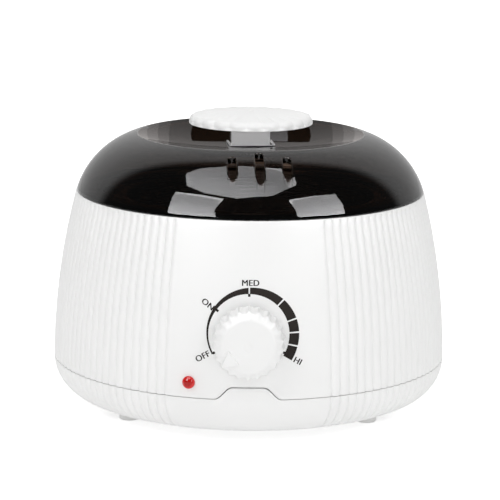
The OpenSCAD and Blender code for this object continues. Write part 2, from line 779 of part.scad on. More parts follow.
main_housing();
housing_ledge();
housing_deck();
base_shell();
feet();
case_screws();
heating_well();
well_screws();
heating_element();
clamp_plate();
stud_spacer();
heat_shield();
stud_nut();
thermal_fuse();
fuse_clip();
thermostat_body();
thermostat_terminals();
thermostat_screws();
indicator_lens();
lamp_holder();
terminal_block();
terminal_screws();
inlet_grommet();
cord_clamp();
clamp_screws();
inner_wiring();
thermostat_shaft();
control_knob();
knob_spring();
inner_pot();
pot_floor();
pot_handle();
lid_shell();
lid_knob();
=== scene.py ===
import json
import math

import bmesh
import bpy
from mathutils import Matrix, Vector


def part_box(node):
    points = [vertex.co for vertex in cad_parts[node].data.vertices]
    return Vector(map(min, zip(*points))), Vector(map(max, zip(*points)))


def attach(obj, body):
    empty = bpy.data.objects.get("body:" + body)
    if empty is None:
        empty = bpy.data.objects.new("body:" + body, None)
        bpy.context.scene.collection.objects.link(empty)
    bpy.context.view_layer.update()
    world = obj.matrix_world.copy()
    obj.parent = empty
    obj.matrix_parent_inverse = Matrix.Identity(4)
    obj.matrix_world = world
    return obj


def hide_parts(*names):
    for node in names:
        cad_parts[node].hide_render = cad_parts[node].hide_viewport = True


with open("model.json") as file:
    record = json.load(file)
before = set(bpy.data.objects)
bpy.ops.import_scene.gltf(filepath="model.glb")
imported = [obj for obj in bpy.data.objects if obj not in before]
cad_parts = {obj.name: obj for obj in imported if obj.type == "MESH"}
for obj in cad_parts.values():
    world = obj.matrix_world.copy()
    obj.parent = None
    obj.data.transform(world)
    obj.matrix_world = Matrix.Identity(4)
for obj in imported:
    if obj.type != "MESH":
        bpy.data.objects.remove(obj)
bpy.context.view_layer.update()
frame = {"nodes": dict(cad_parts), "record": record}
lid_low, lid_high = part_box("lid_shell")
AXIS_Y = (lid_low.y + lid_high.y) / 2

# Sizes are in metres and angles in degrees. Heights are above the table. Reaches, x and y are taken from the
# well's axis, which stands at y = AXIS_Y.
MM = 0.001
TAU = 2 * math.pi

# Housing: its side is an arc, widest at the height WIDEST
BODY_RADIUS = 93 * MM
WIDEST = 20.2 * MM
SIDE_ARC = 319.3 * MM
SIDE_CENTRE = BODY_RADIUS - SIDE_ARC
SEAM = 22.8 * MM
SEAM_GAP = 0.25 * MM
RIM = 101.9 * MM
WALL = 2.6 * MM
DECK = RIM - 4.4 * MM
DECK_THICKNESS = 2.6 * MM
RECESS = 78.4 * MM
LEDGE = 76.4 * MM
LEDGE_DEPTH = 2.4 * MM

# Ribs, with a smooth panel of twice SMOOTH_PITCHES at the front
RIBS = 128
SMOOTH_PITCHES = 8
RIB_DEPTH = 0.95 * MM
RIB_COLUMNS = 10

# Base, with the tab at the front of its seam
BASE_ARC = 18.2 * MM
BASE_CENTRE = BODY_RADIUS - BASE_ARC
UNDERSIDE = 4.4 * MM
BASE_ARC_HEIGHT = UNDERSIDE + BASE_ARC
FLOOR_THICKNESS = 2.8 * MM
TAB_HEIGHT = 5.5 * MM
TAB_FOOT = 15.9 * MM
TAB_TOP = 6.1 * MM
SCREW_REACH = 72 * MM
SCREW_WELL = 3.3 * MM
SCREW_WELL_TOP = 19 * MM
POST_TOP = 22 * MM
INLET_HEIGHT = 15 * MM

# Lid: a shoulder arc that meets a dish at the crease, and a ring below that fits inside the ledge
LID_RADIUS = 82 * MM
LID_ARC = 39.65 * MM
LID_ARC_REACH = 44.4 * MM
LID_ARC_HEIGHT = RIM - 11.7 * MM
LID_WALL = 2.4 * MM
LID_TURN = 3.7
RING = 72.4 * MM
RING_FOOT = RIM - 3.7 * MM
WEB_TOP = RIM + 2.2 * MM
CREASE = 53.5 * MM
CREASE_HEIGHT = LID_ARC_HEIGHT + math.sqrt(LID_ARC ** 2 - (CREASE - LID_ARC_REACH) ** 2)
CREASE_ROUNDING = 2.2 * MM
INNER_CREASE = 50.2 * MM
DISH_DEPTH = 5.6 * MM
DISH_RADIUS = (CREASE ** 2 + DISH_DEPTH ** 2) / (2 * DISH_DEPTH)
DISH_CENTRE = CREASE_HEIGHT - DISH_DEPTH + DISH_RADIUS
SLOT_WIDTH = 4.4 * MM
SLOT_PITCH = 12.4 * MM

# Knob of the lid
KNOB_RADIUS = 29.2 * MM
KNOB_LOW = RIM + 31.7 * MM
KNOB_THICKNESS = 5.9 * MM
KNOB_CROWN = 190 * MM
KNOB_LOBES = 22
KNOB_TURN = -4.5
SEAT_TURN = 7
STEM_WIDTH = 18.2 * MM
STEM_DEPTH = 12 * MM

# Dial and lamp
DIAL_HEIGHT = 49.9 * MM
DIAL_BACK = BODY_RADIUS + 0.2 * MM
DIAL_RADIUS = 15.8 * MM
DIAL_THICKNESS = 12 * MM
DIAL_FLUTES = 22
POINTER_REST = 233
LAMP_HEIGHT = 29.8 * MM
LAMP_ANGLE = 16.6
LAMP_DIAMETER = 5.8 * MM
LAMP_CROWN = BODY_RADIUS + 2.3 * MM
LAMP_DOME = 2.1 * MM

# Print on the front panel: angles run clockwise from the top
PRINT_CENTRE = (0.07 * MM, 52.3 * MM)
PRINT_INNER = 18.05 * MM
PRINT_LIFT = 0.06 * MM
PRINT_START, PRINT_END = -119.5, 121.4
PRINT_STEPS = (0, 44.7, 71.5, 87.7, 103.9)
PRINT_TICKS = ((-118.6, 1.1), (-53.5, 1.2), (0, 1.3), (117.2, 0.9))
WORDS = (("OFF", -20.4, 42.0, 30), ("ON", -18.15, 65.3, -37), ("MED", 0.6, 75.2, 0), ("HI", 22.0, 40.3, -28))

# Studio. Light levels are radiances. The surround is what reflections see, and the fill is what reaches matt
# surfaces.
LAMP_LIGHT = 2.72
BOX_DISTANCE = 1.3
BOX_AIM = Vector((0, AXIS_Y, 0.09))
FLOOR_LIFT = 0.58
FLOOR_GLOW = 0.24
FILL_FRONT = 0.38
FILL_BACK = 0.92
SURROUND_FOOT = 0.72
SURROUND_TOP = 0.9
ROOM_GLOW = 0.08
BACKGROUND_WHITE = 1.25

# Outlines of the soft boxes' faces, in metres about each box's middle
LEFT_OUTLINE = [(-0.392, 0.208), (-0.342, -0.52), (0.46, -0.47),
                (0.291, -0.156), (0.273, 0.231), (-0.084, 0.224)]
RIGHT_OUTLINE = [(-0.279, 0.232), (-0.326, -0.108), (-0.42, -0.46),
                 (0.366, -0.5), (0.385, 0.156), (0.053, 0.194)]
TOP_OUTLINE = [(-0.538, -0.1), (-0.398, -0.512), (-0.084, -0.699), (0.386, -0.695), (0.735, -0.301),
               (0.64, 0.21), (0.354, 0.412), (0.074, 0.528), (-0.254, 0.4), (-0.486, 0.143)]

# Camera, at the photograph's viewing angle
CAMERA_LENS = 183.6
CAMERA_PLACE = (0.0002, AXIS_Y - 1.19203, 0.3128)
CAMERA_DIP = 0.1991
CAMERA_ROLL = 0.0104

# Angles from which an edge stays sharp, on the pieces and on the nodes of the construction
SHARP_EDGE = 35
NODE_SHARP_EDGE = 30


def side_radius(z):
    return SIDE_CENTRE + math.sqrt(SIDE_ARC ** 2 - (z - WIDEST) ** 2)


def smooth(share):
    share = min(1, max(0, share))
    return share * share * (3 - 2 * share)


def link_object(name, data):
    thing = bpy.data.objects.new(name, data)
    bpy.context.scene.collection.objects.link(thing)
    return thing


# Nodes
def feed(tree, socket, value):
    """Links an output to a socket, or sets the socket to a constant."""
    if isinstance(value, bpy.types.NodeSocket):
        tree.links.new(value, socket)
    else:
        socket.default_value = value


def place_parts(tree, space):
    """The X, Y and Z outputs of a texture coordinate."""
    place = tree.nodes.new("ShaderNodeTexCoord")
    split = tree.nodes.new("ShaderNodeSeparateXYZ")
    tree.links.new(place.outputs[space], split.inputs[0])
    return split.outputs


def maths(tree, operation, *values):
    node = tree.nodes.new("ShaderNodeMath")
    node.operation = operation
    for socket, value in zip(node.inputs, values):
        feed(tree, socket, value)
    return node.outputs[0]


def length(tree, vector):
    node = tree.nodes.new("ShaderNodeVectorMath")
    node.operation = "LENGTH"
    tree.links.new(vector, node.inputs[0])
    return node.outputs["Value"]


def map_range(tree, value, start, end, low, high, curve="SMOOTHSTEP"):
    node = tree.nodes.new("ShaderNodeMapRange")
    node.interpolation_type = curve
    node.inputs["From Min"].default_value = start
    node.inputs["From Max"].default_value = end
    node.inputs["To Min"].default_value = low
    node.inputs["To Max"].default_value = high
    tree.links.new(value, node.inputs["Value"])
    return node.outputs["Result"]


def mix(tree, factor, first, second, kind="FLOAT"):
    node = tree.nodes.new("ShaderNodeMix")
    node.data_type = kind
    tree.links.new(factor, node.inputs["Factor"])
    feed(tree, node.inputs["A"], first)
    feed(tree, node.inputs["B"], second)
    return node.outputs["Result"]


def noise(tree, where, scale, detail):
    node = tree.nodes.new("ShaderNodeTexNoise")
    node.inputs["Scale"].default_value = scale
    node.inputs["Detail"].default_value = detail
    tree.links.new(where, node.inputs["Vector"])
    return node.outputs["Fac"]


def emission(tree, colour, strength):
    glow = tree.nodes.new("ShaderNodeEmission")
    glow.inputs["Color"].default_value = (*colour, 1)
    feed(tree, glow.inputs["Strength"], strength)
    return glow.outputs[0]


def empty_material(name):
    material = bpy.data.materials.new(name)
    material.use_nodes = True
    material.node_tree.nodes.clear()
    return material, material.node_tree


def set_surface(tree, surface, kind="Material"):
    out = tree.nodes.new("ShaderNodeOutput" + kind)
    tree.links.new(surface, out.inputs["Surface"])


# Studio: a white surround behind, a dim room in front, and soft boxes
def make_camera():
    data = bpy.data.cameras.new("camera")
    data.lens = CAMERA_LENS
    data.sensor_width = 36
    camera = link_object("camera", data)
    tilt = Matrix.Rotation(math.pi / 2 - CAMERA_DIP, 4, "X")
    camera.matrix_world = Matrix.Translation(CAMERA_PLACE) @ tilt @ Matrix.Rotation(CAMERA_ROLL, 4, "Z")
    bpy.context.scene.camera = camera


def make_world():
    """Reflections see the surround, with its darker foot, rise out of the dim room. The fill that reaches
    matt surfaces is more even, and the camera sees white."""
    world = bpy.data.worlds.new("studio")
    bpy.context.scene.world = world
    world.use_nodes = True
    tree = world.node_tree
    tree.nodes.clear()
    path = tree.nodes.new("ShaderNodeLightPath")
    where = place_parts(tree, "Generated")
    rising = map_range(tree, where["Y"], 0.33, 0.52, 0, 1)
    surround = map_range(tree, where["Z"], 0.1, 0.6, SURROUND_FOOT, SURROUND_TOP)
    mirrored = maths(tree, "ADD", maths(tree, "MULTIPLY", rising, surround), ROOM_GLOW)
    fill = map_range(tree, where["Y"], -0.6, 0.6, FILL_FRONT, FILL_BACK)
    lit = mix(tree, path.outputs["Is Glossy Ray"], fill, mirrored)
    glow = tree.nodes.new("ShaderNodeBackground")
    strength = mix(tree, path.outputs["Is Camera Ray"], lit, BACKGROUND_WHITE)
    tree.links.new(strength, glow.inputs["Strength"])
    set_surface(tree, glow.outputs[0], "World")


def soft_box(name, azimuth, elevation, width, height, light, outline=(), sheen=0.0):
    """A soft box seen from the object at an azimuth from the front and an elevation: a lamp that lights at
    radiance light and, with an outline, a card in its place that only shows in reflections, at radiance
    sheen."""
    a, e = math.radians(azimuth), math.radians(elevation)
    out = Vector((math.sin(a) * math.cos(e), -math.cos(a) * math.cos(e), math.sin(e)))
    turn = out.to_track_quat("Z", "Y").to_matrix().to_4x4()
    place = Matrix.Translation(BOX_AIM + BOX_DISTANCE * out) @ turn
    data = bpy.data.lights.new(name, "AREA")
    data.shape = "RECTANGLE"
    data.size, data.size_y = width, height
    data.energy = light * math.pi * width * height
    lamp = link_object(name, data)
    lamp.matrix_world = place
    lamp.visible_camera = False
    lamp.visible_glossy = False
    if outline:
        corners = [place @ Vector((x, y, 0)) for x, y in outline]
        mirror_card(name + "_card", corners, box_glow(name, sheen))


def mirror_card(name, corners, material):
    """A flat card that only shows in reflections."""
    mesh = bpy.data.meshes.new(name)
    mesh.from_pydata(corners, [], [tuple(range(len(corners)))])
    mesh.materials.append(material)
    card = link_object(name, mesh)
    for ray in ("camera", "diffuse", "transmission", "shadow", "volume_scatter"):
        setattr(card, "visible_" + ray, False)


def box_glow(name, sheen):
    """The face of a soft box: brighter towards its foot and in a border round it."""
    material, tree = empty_material(name)
    where = place_parts(tree, "Generated")
    across, up = (maths(tree, "ABSOLUTE", maths(tree, "SUBTRACT", where[axis], 0.5)) for axis in "XZ")
    border = map_range(tree, maths(tree, "MAXIMUM", across, up), 0.41, 0.44, 0, 1)
    face = map_range(tree, where["Z"], 0, 0.8, 1.45 * sheen, 0.7 * sheen)
    set_surface(tree, emission(tree, (0.98, 0.98, 1), mix(tree, border, face, 1.35 * sheen)))
    return material


def make_lights():
    soft_box("left_box", -40, 41, 0.73, 0.61, LAMP_LIGHT, LEFT_OUTLINE, sheen=8.2)
    soft_box("right_box", 49, 39, 0.73, 0.55, LAMP_LIGHT, RIGHT_OUTLINE, sheen=8.2)
    soft_box("top_box", -36, 82, 1, 1.08, LAMP_LIGHT * 0.2, TOP_OUTLINE, sheen=4.6)
    soft_box("front_fill", 0, 8.5, 2.2, 0.3, LAMP_LIGHT * 0.6)


def make_flags():
    """Cards behind the knob that only show in reflections, low over the dish, and so paint what the dish
    reflects: a grey one that pales in steps towards its ends, a dark one before it that paints the shade
    under the knob, and a light panel. Their places are in millimetres."""
    def flag(name, behind, left, right, low, high, colour, strength, slant=0.0):
        y = AXIS_Y + behind * MM
        corners = [((left + slant) * MM, y, low * MM), ((right - slant) * MM, y, low * MM),
                   (right * MM, y, high * MM), (left * MM, y, high * MM)]
        material, tree = empty_material(name)
        set_surface(tree, emission(tree, colour, strength))
        mirror_card(name, corners, material)

    def grey_flag(name, left, right, strength):
        flag("grey_flag_" + name, 50, left, right, 127, 138, (1, 0.95, 0.93), strength)

    middle, step = 38, 5
    grey_flag("0_0", -middle, middle, 0.24)
    for k, strength in enumerate((0.34, 0.46, 0.6)):
        near = middle + step * k
        grey_flag("%d_-1" % (k + 1), -near - step, -near, strength)
        grey_flag("%d_1" % (k + 1), near, near + step, strength)
    # Painted reflection: a dark card for the shade under the knob, seen in the dish
    flag("dark_flag", 49, -29.5, 29.5, 132.4, 139, (1, 0.7, 0.5), 0.02, slant=2.5)
    flag("light_panel", 48.5, -11, 18.5, 132.6, 139, (1, 0.97, 0.99), 0.3, slant=1.5)


def make_floor():
    """A pale floor that glows to the camera and fainter to other rays. Near the object its glow to the camera
    is lower, rising to white away from it: painted shade round the object, added to its real contact shadow.
    """
    size = 4
    corners = [(-size, -size, 0), (size, -size, 0), (size, size, 0), (-size, size, 0)]
    mesh = bpy.data.meshes.new("floor")
    mesh.from_pydata(corners, [], [(0, 1, 2, 3)])
    floor = link_object("floor", mesh)
    floor.location.y = AXIS_Y
    material, tree = empty_material("floor")
    paper = tree.nodes.new("ShaderNodeBsdfDiffuse")
    paper.inputs["Color"].default_value = (0.8, 0.8, 0.8, 1)
    place = tree.nodes.new("ShaderNodeTexCoord")
    path = tree.nodes.new("ShaderNodeLightPath")
    # Painted shade: the floor's glow to the camera is lower close to the object
    lift = map_range(tree, length(tree, place.outputs["Object"]), 0.07, 0.3, FLOOR_LIFT, 1)
    strength = mix(tree, path.outputs["Is Camera Ray"], FLOOR_GLOW, lift)
    add = tree.nodes.new("ShaderNodeAddShader")
    tree.links.new(paper.outputs[0], add.inputs[0])
    tree.links.new(emission(tree, (1, 1, 1), strength), add.inputs[1])
    set_surface(tree, add.outputs[0])
    mesh.materials.append(material)


# Materials
def round_axis(tree, where):
    """A place as its distance from the Z axis and its height."""
    split = tree.nodes.new("ShaderNodeSeparateXYZ")
    tree.links.new(where, split.inputs[0])
    flat = tree.nodes.new("ShaderNodeCombineXYZ")
    tree.links.new(split.outputs["X"], flat.inputs["X"])
    tree.links.new(split.outputs["Y"], flat.inputs["Y"])
    turned_place = tree.nodes.new("ShaderNodeCombineXYZ")
    tree.links.new(length(tree, flat.outputs[0]), turned_place.inputs["X"])
    tree.links.new(split.outputs["Z"], turned_place.inputs["Y"])
    return turned_place.outputs[0]


def finish(name, colour, roughness, metallic=0, grain=900, bump=0.05, spread=0.06, shade=0.03, rings=False,
           specular=0.5, glow=0.0):
    """A moulded or worked surface: fine grain in roughness and bump, and a slight broad change of shade.
    With rings the grain runs round the Z axis, as on a spun or turned piece. Glow is painted light: an even
    emission that brightens a white piece, for the light that comes through it from behind."""
    material = bpy.data.materials.new(name)
    material.use_nodes = True
    tree = material.node_tree
    shader = tree.nodes["Principled BSDF"]
    shader.inputs["Metallic"].default_value = metallic
    shader.inputs["Specular IOR Level"].default_value = specular
    # Painted light: the glow is an even emission, not a lamp
    shader.inputs["Emission Color"].default_value = (1, 1, 1, 1)
    shader.inputs["Emission Strength"].default_value = glow
    where = tree.nodes.new("ShaderNodeTexCoord").outputs["Object"]
    fine = noise(tree, round_axis(tree, where) if rings else where, grain, 4)
    broad = noise(tree, where, 22, 3)
    rough = map_range(tree, fine, 0, 1, roughness - spread, roughness + spread, "LINEAR")
    tree.links.new(rough, shader.inputs["Roughness"])
    deep = (*[c * (1 - shade) for c in colour], 1)
    pale = (*[min(1, c * (1 + shade)) for c in colour], 1)
    tree.links.new(mix(tree, broad, deep, pale, "RGBA"), shader.inputs["Base Color"])
    relief = tree.nodes.new("ShaderNodeBump")
    relief.inputs["Strength"].default_value = bump
    relief.inputs["Distance"].default_value = 0.2 * MM
    tree.links.new(fine, relief.inputs["Height"])
    tree.links.new(relief.outputs[0], shader.inputs["Normal"])
    return material


def smoke_finish():
    """Clear smoked plastic that darkens and browns what is seen through it."""
    material = bpy.data.materials.new("smoke")
    material.use_nodes = True
    tree = material.node_tree
    shader = tree.nodes["Principled BSDF"]
    shader.inputs["Transmission Weight"].default_value = 1
    shader.inputs["IOR"].default_value = 1.49
    where = tree.nodes.new("ShaderNodeTexCoord").outputs["Object"]
    broad = noise(tree, where, 30, 2)
    tone = mix(tree, broad, (0.95, 0.93, 0.92, 1), (1, 0.98, 0.97, 1), "RGBA")
    tree.links.new(tone, shader.inputs["Base Color"])
    tree.links.new(map_range(tree, broad, 0, 1, 0.01, 0.04, "LINEAR"), shader.inputs["Roughness"])
    depth = tree.nodes.new("ShaderNodeVolumeAbsorption")
    depth.inputs["Color"].default_value = (0.26, 0.12, 0.0, 1)
    depth.inputs["Density"].default_value = 1150
    tree.links.new(depth.outputs[0], tree.nodes["Material Output"].inputs["Volume"])
    return material


def lamp_place(x, y, z):
    """A point in the lamp's own frame: x right, y up and z out along its axis."""
    a = math.radians(LAMP_ANGLE)
    return (x * math.cos(a) - z * math.sin(a), -x * math.sin(a) - z * math.cos(a), LAMP_HEIGHT + y)


def lamp_finish():
    """Clear red plastic, faintly lit from within, with a painted brighter ring round the dome's edge and
    deeper red in its middle.
    """
    material = finish("lamp_red", (0.62, 0.012, 0.012), 0.12, bump=0.01, spread=0.03, specular=0.2)
    tree = material.node_tree
    shader = tree.nodes["Principled BSDF"]
    shader.inputs["Coat Weight"].default_value = 0.5
    shader.inputs["Coat Roughness"].default_value = 0.04
    shader.inputs["Emission Color"].default_value = (1, 0.05, 0.03, 1)
    shader.inputs["Emission Strength"].default_value = 0.1
    # Painted light: the base colour brightens from the dome's middle out to its edge
    off = tree.nodes.new("ShaderNodeVectorMath")
    off.operation = "DISTANCE"
    tree.links.new(tree.nodes.new("ShaderNodeTexCoord").outputs["Object"], off.inputs[0])
    off.inputs[1].default_value = Vector(lamp_place(0, 0, LAMP_CROWN)) + Vector((0, AXIS_Y, 0))
    rim = map_range(tree, off.outputs["Value"], 0.9 * MM, 3 * MM, 0, 1)
    tone = mix(tree, rim, (0.3, 0.0, 0.0, 1), (0.55, 0.012, 0.014, 1), "RGBA")
    tree.links.new(tone, shader.inputs["Base Color"])
    return material


def make_materials():
    made = {"lamp_red": lamp_finish(), "lid_smoke": smoke_finish()}

    def add(name, colour, roughness, **look):
        made[name] = finish(name, colour, roughness, **look)

    def metal(name, colour, roughness, **look):
        add(name, colour, roughness, metallic=1, **look)

    add("housing_white", (0.88, 0.88, 0.875), 0.4, bump=0.04)
    add("deck_white", (0.84, 0.84, 0.83), 0.5, bump=0.06)
    add("base_white", (0.88, 0.88, 0.875), 0.4, bump=0.04)
    add("foot_white", (0.84, 0.84, 0.83), 0.6, grain=600, bump=0.1)
    add("knob_white", (0.86, 0.86, 0.855), 0.4, bump=0.03)
    # Painted light: the cap glows a little and the stem more, brightening white that the knob shades
    add("cap_white_painted_glow", (0.9, 0.9, 0.895), 0.5, bump=0.03, glow=0.04, specular=0.2)
    add("stem_white_painted_glow", (0.93, 0.92, 0.925), 0.3, bump=0.03, glow=0.12)
    # Painted highlight: a plain grey for the bright edge of the clear crease
    add("crease_edge", (0.55, 0.55, 0.56), 0.3, bump=0.02)
    # Painted shadow: a near black for the seat's floor and the strip before it, where the gap is in shade
    add("seat_painted_shadow", (0.02, 0.018, 0.017), 0.4)
    add("holder_black", (0.03, 0.03, 0.03), 0.45)
    add("print_black", (0.02, 0.016, 0.014), 0.6, grain=2500, bump=0.02, shade=0.2, specular=0.12)
    add("mica", (0.5, 0.36, 0.18), 0.45, grain=300, shade=0.2)
    add("fuse_ceramic", (0.8, 0.77, 0.7), 0.5)
    add("steatite", (0.84, 0.81, 0.74), 0.55, grain=800, bump=0.12)
    add("block_cream", (0.82, 0.79, 0.7), 0.42)
    add("grommet_grey", (0.09, 0.09, 0.095), 0.62, grain=500, bump=0.15)
    add("wire_sleeve", (0.55, 0.53, 0.5), 0.6, grain=700, bump=0.15, shade=0.1)
    metal("zinc_screw", (0.62, 0.62, 0.64), 0.3, grain=1500)
    metal("zinc_plate", (0.6, 0.61, 0.63), 0.38, grain=700)
    metal("well_aluminium", (0.78, 0.78, 0.79), 0.32, grain=1600, rings=True, bump=0.12)
    metal("pot_aluminium", (0.8, 0.8, 0.81), 0.26, grain=1900, rings=True, bump=0.1)
    metal("shield_aluminium", (0.74, 0.74, 0.75), 0.42, grain=1200, rings=True)
    metal("tinned_brass", (0.72, 0.66, 0.5), 0.3, grain=1000)
    metal("spring_steel", (0.5, 0.5, 0.52), 0.28, grain=1200)
    metal("handle_wire", (0.7, 0.7, 0.72), 0.2, grain=1400)
    return made


# Mesh building
def built_mesh(name, points, faces):
    """A mesh with its faces turned outwards, moved from the well's axis to its place."""
    mesh = bpy.data.meshes.new(name)
    mesh.from_pydata([(p[0], p[1] + AXIS_Y, p[2]) for p in points], [], faces)
    mesh.validate()
    shell = bmesh.new()
    shell.from_mesh(mesh)
    bmesh.ops.recalc_face_normals(shell, faces=shell.faces)
    shell.to_mesh(mesh)
    shell.free()
    return mesh


def shade(mesh, sharp):
    """Smooth shading, with edges kept sharp from an angle in degrees."""
    mesh.shade_smooth()
    mesh.set_sharp_from_angle(angle=math.radians(sharp))


def add_piece(name, points, faces, material, body, sharp=SHARP_EDGE, slot=None, stands_for=()):
    """Makes a piece that rides on a body. stands_for names the nodes that it replaces."""
    mesh = built_mesh(name, points, faces)
    shade(mesh, sharp)
    mesh.materials.append(materials[material])
    piece = link_object(name, mesh)
    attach(piece, body)
    if stands_for:
        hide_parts(*stands_for)
    return piece


def add_shapes(name, shapes, material, body, **rest):
    """Makes one piece of several shapes."""
    points, faces = joined(shapes)
    return add_piece(name, points, faces, material, body, **rest)


def turned_grid(rows, columns, place):
    """Points and faces of a closed outline taken round an axis. place(row, angle) gives its radius and
    height. A row on the axis becomes one point."""
    on_axis = 1e-7
    points, rings = [], []
    angles = [TAU * k / columns for k in range(columns)]
    for row in range(rows):
        ring = [place(row, a) for a in angles]
        if max(r for r, _ in ring) < on_axis:
            rings.append([len(points)] * columns)
            points.append((0, 0, ring[0][1]))
            continue
        rings.append(list(range(len(points), len(points) + columns)))
        points += [(r * math.sin(a), -r * math.cos(a), z) for (r, z), a in zip(ring, angles)]
    faces = []
    for row in range(rows):
        this, after = rings[row], rings[(row + 1) % rows]
        for k in range(columns):
            n = (k + 1) % columns
            corners = list(dict.fromkeys([this[k], this[n], after[n], after[k]]))
            if len(corners) > 2:
                faces.append(corners)
    return points, faces


def arc(centre, radius, start, end, steps):
    """Points on an arc in the (radius, height) plane, angles in degrees."""
    angles = [math.radians(start + (end - start) * k / steps) for k in range(steps + 1)]
    return [(centre[0] + radius * math.cos(a), centre[1] + radius * math.sin(a)) for a in angles]


def eased(corners, size, steps=4, closed=False):
    """A chain of corners with each one rounded off. The rounding reaches as far as size along each side, and
    never past most_share of it."""
    most_share = 0.45
    made = []
    count = len(corners)
    for i, corner in enumerate(corners):
        here = Vector(corner)
        if not closed and i in (0, count - 1):
            made.append(tuple(here))
            continue
        before, after = Vector(corners[i - 1]), Vector(corners[(i + 1) % count])
        cut = min(size, (here - before).length * most_share, (here - after).length * most_share)
        start = here + (before - here).normalized() * cut
        end = here + (after - here).normalized() * cut
        for k in range(steps + 1):
            t = k / steps
            made.append(tuple((1 - t) ** 2 * start + 2 * t * (1 - t) * here + t * t * end))
    return made


def prism(outline, low, high):
    """Points and faces of a flat outline drawn out from one height to another."""
    count = len(outline)
    points = [(x, y, low) for x, y in outline] + [(x, y, high) for x, y in outline]
    faces = [tuple(range(count - 1, -1, -1)), tuple(range(count, 2 * count))]
    faces += [(k, (k + 1) % count, count + (k + 1) % count, count + k) for k in range(count)]
    return points, faces


def tube(route, radius):
    """Points and faces of a round rim that follows a closed route."""
    sides = 8
    points, count = [], len(route)
    for k, here in enumerate(route):
        along = (Vector(route[(k + 1) % count]) - Vector(route[k - 1])).normalized()
        side = along.cross(Vector((0, 0, 1))).normalized()
        up = side.cross(along)
        for j in range(sides):
            a = TAU * j / sides
            points.append(Vector(here) + radius * (math.cos(a) * side + math.sin(a) * up))
    faces = []
    for k in range(count):
        n = (k + 1) % count
        faces += [(k * sides + j, k * sides + (j + 1) % sides, n * sides + (j + 1) % sides, n * sides + j)
                  for j in range(sides)]
    return points, faces


def joined(shapes):
    """Several sets of points and faces as one."""
    points, faces = [], []
    for some, sides in shapes:
        faces += [tuple(len(points) + k for k in side) for side in sides]
        points += list(some)
    return points, faces


def cut(piece, shapes):
    """Takes closed shapes out of a piece's mesh."""
    mesh = built_mesh("cutter", *joined(shapes))
    cutter = link_object("cutter", mesh)
    change = piece.modifiers.new("cut", "BOOLEAN")
    change.operation = "DIFFERENCE"
    change.solver = "MANIFOLD"
    change.object = cutter
    bpy.context.view_layer.update()
    whole = piece.data
    piece.data = bpy.data.meshes.new_from_object(piece.evaluated_get(bpy.context.evaluated_depsgraph_get()))
    piece.modifiers.clear()
    bpy.data.meshes.remove(whole)
    bpy.data.meshes.remove(mesh)
    shade(piece.data, SHARP_EDGE)


def ring_of(radius, count=24, middle=(0, 0)):
    return [(middle[0] + radius * math.cos(TAU * k / count), middle[1] + radius * math.sin(TAU * k / count))
            for k in range(count)]


def turned(point, degrees):
    """A point turned about the Z axis."""
    a = math.radians(degrees)
    x, y = point[:2]
    return (x * math.cos(a) - y * math.sin(a), x * math.sin(a) + y * math.cos(a), *point[2:])


# Housing and base
def valley(angle):
    """How far the surface lies below a rib's crest at an angle from the front, as a share of the ribs'
    depth."""
    pitches = angle / TAU * RIBS
    pitches = min(pitches, RIBS - pitches)
    if pitches < SMOOTH_PITCHES:
        return 0
    off = 2 * abs(pitches - round(pitches))
    roundness = 0.86
    return (1 - math.sqrt(1 - roundness * off * off)) / (1 - math.sqrt(1 - roundness))


def tab_edge(angle, grow):
    """Height of the tab above the seam at an angle from the front, in an S at each side."""
    x = BODY_RADIUS * abs(math.sin(angle))
    if math.cos(angle) < 0 or x > TAB_FOOT + grow:
        return 0
    share = min(1, (TAB_FOOT + grow - x) / (TAB_FOOT - TAB_TOP))
    return (TAB_HEIGHT + grow) * share ** 3 * (share * (6 * share - 15) + 10)


def make_housing():
    """The housing's wall and ledge, from the seam up the outside and down the inside."""
    side_rows = 30
    bevel = 0.35 * MM
    part_bevel = 0.3 * bevel
    smooth_rim, rib_end = 0.4 * MM, 1.3 * MM
    waist = 60 * MM
    inner_low = SEAM + 6.5 * MM
    deck_under = DECK - DECK_THICKNESS
    ledge_under = deck_under - LEDGE_DEPTH
    inside = eased([(RECESS + 0.01 * MM, RIM), (RECESS, deck_under), (LEDGE, deck_under),
                    (LEDGE, ledge_under),
                    (side_radius(ledge_under) - WALL, ledge_under), (side_radius(waist) - WALL, waist),
                    (side_radius(inner_low) - WALL, inner_low)], 0.3 * MM, 2)

    def place(row, angle):
        dip = RIB_DEPTH * valley(angle)
        low = SEAM + tab_edge(angle, SEAM_GAP)
        if row == 0:
            return side_radius(low) - dip - bevel, low
        if row == 1:
            return side_radius(low) - dip - part_bevel, low + part_bevel
        if row < 2 + side_rows:
            t = (row - 2) / (side_rows - 1)
            z = low + bevel + (RIM - 2 * bevel - low) * t
            fade = smooth((RIM - z - smooth_rim) / rib_end)
            return side_radius(z) - dip * fade, z
        row -= 2 + side_rows
        if row == 0:
            return side_radius(RIM) - part_bevel, RIM - part_bevel
        if row == 1:
            return side_radius(RIM) - bevel, RIM
        row -= 2
        if row < len(inside):
            return inside[row]
        return side_radius(SEAM) - WALL, low

    rows = 2 + side_rows + 2 + len(inside) + 1
    points, faces = turned_grid(rows, RIBS * RIB_COLUMNS, place)
    add_piece("housing_skin", points, faces, "housing_white", "body",
              stands_for=("main_housing", "housing_ledge"))


